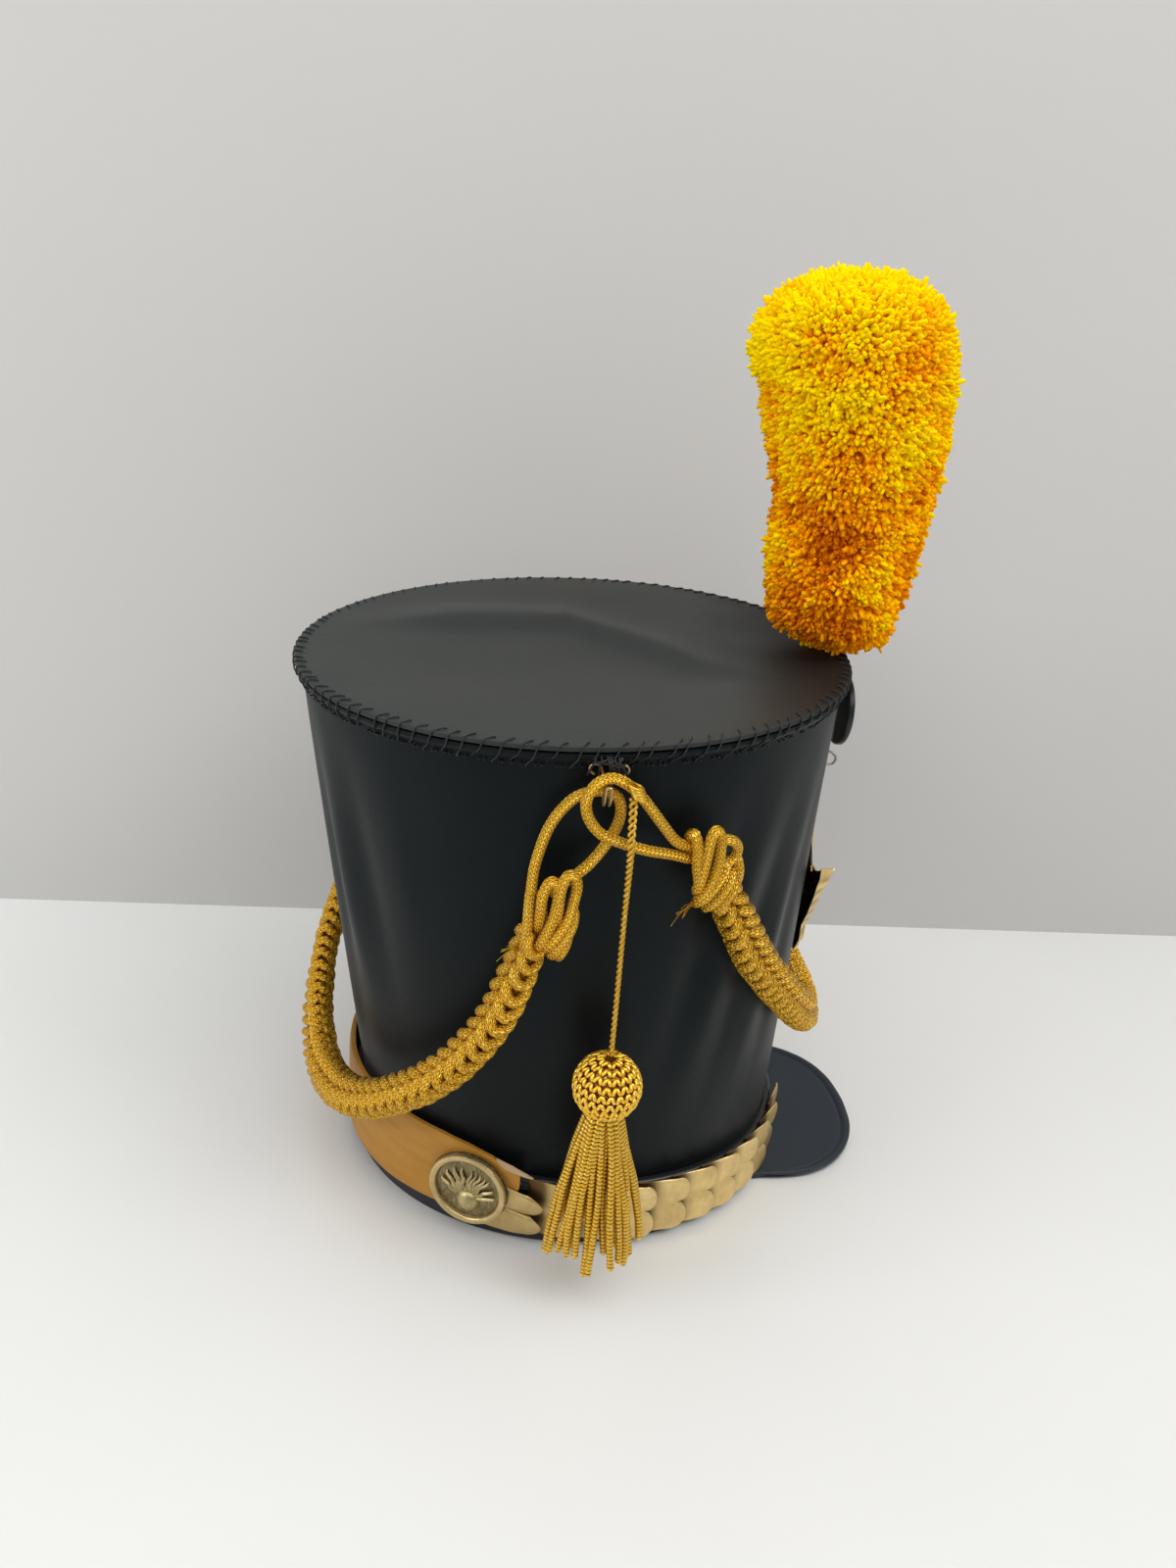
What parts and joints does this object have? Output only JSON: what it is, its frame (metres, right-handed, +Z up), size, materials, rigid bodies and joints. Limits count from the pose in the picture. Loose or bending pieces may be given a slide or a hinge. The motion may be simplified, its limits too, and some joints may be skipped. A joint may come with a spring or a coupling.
{
  "type": "shako hat",
  "caption": "Tall flared black leather military hat with a peak, brass chin scales and bosses, a yellow plume, plaited gold festoons and one hanging tassel.",
  "frame": {"origin": "middle of the hat's footprint on the plane of the base rim, cords and tassel left out", "axes": "+Z up from the base rim to the crown, the peak and the wearer's front along -Y, the wearer's right along -X"},
  "size_m": [0.255, 0.2812, 0.409],
  "materials": {
    "black_leather": "satin",
    "crown_leather": "satin",
    "peak_leather": "satin",
    "tan_leather": "satin",
    "scale_brass": "brushed",
    "antique_brass": "satin",
    "hook_brass": "satin",
    "steel_wire": "satin",
    "gold_cord": "woven",
    "plume_wool": "matte"
  },
  "bodies": {
    "root": {"shell": "black_leather", "crown_top": "crown_leather", "base_band": "black_leather", "peak": "peak_leather", "back_strap": "tan_leather", "chin_scale_right_01": "scale_brass", "chin_scale_right_02": "scale_brass", "chin_scale_right_03": "scale_brass", "chin_scale_right_04": "scale_brass", "chin_scale_right_05": "scale_brass", "chin_scale_right_06": "scale_brass", "chin_scale_right_07": "scale_brass", "chin_scale_right_08": "scale_brass", "chin_scale_right_09": "scale_brass", "chin_scale_right_10": "scale_brass", "chin_scale_right_11": "scale_brass", "chin_scale_left_01": "scale_brass", "chin_scale_left_02": "scale_brass", "chin_scale_left_03": "scale_brass", "chin_scale_left_04": "scale_brass", "chin_scale_left_05": "scale_brass", "chin_scale_left_06": "scale_brass", "chin_scale_left_07": "scale_brass", "chin_scale_left_08": "scale_brass", "chin_scale_left_09": "scale_brass", "chin_scale_left_10": "scale_brass", "chin_scale_left_11": "scale_brass", "boss_right": "antique_brass", "boss_left": "antique_brass", "front_plate": "scale_brass", "cockade": "black_leather", "cockade_loop": "steel_wire", "plume_stem": "steel_wire", "plume": "plume_wool", "hook_right": "hook_brass", "hook_left": "hook_brass", "festoon_front_braid": "gold_cord", "festoon_back_braid": "gold_cord", "festoon_front_loop_right": "gold_cord", "festoon_back_loop_right": "gold_cord", "festoon_front_knot_right": "gold_cord", "festoon_back_knot_right": "gold_cord", "festoon_front_loop_left": "gold_cord", "festoon_back_loop_left": "gold_cord", "festoon_front_knot_left": "gold_cord", "festoon_back_knot_left": "gold_cord", "tassel_cord": "gold_cord", "tassel_ball": "gold_cord", "tassel_skirt": "gold_cord"}
  },
  "joints": []
}
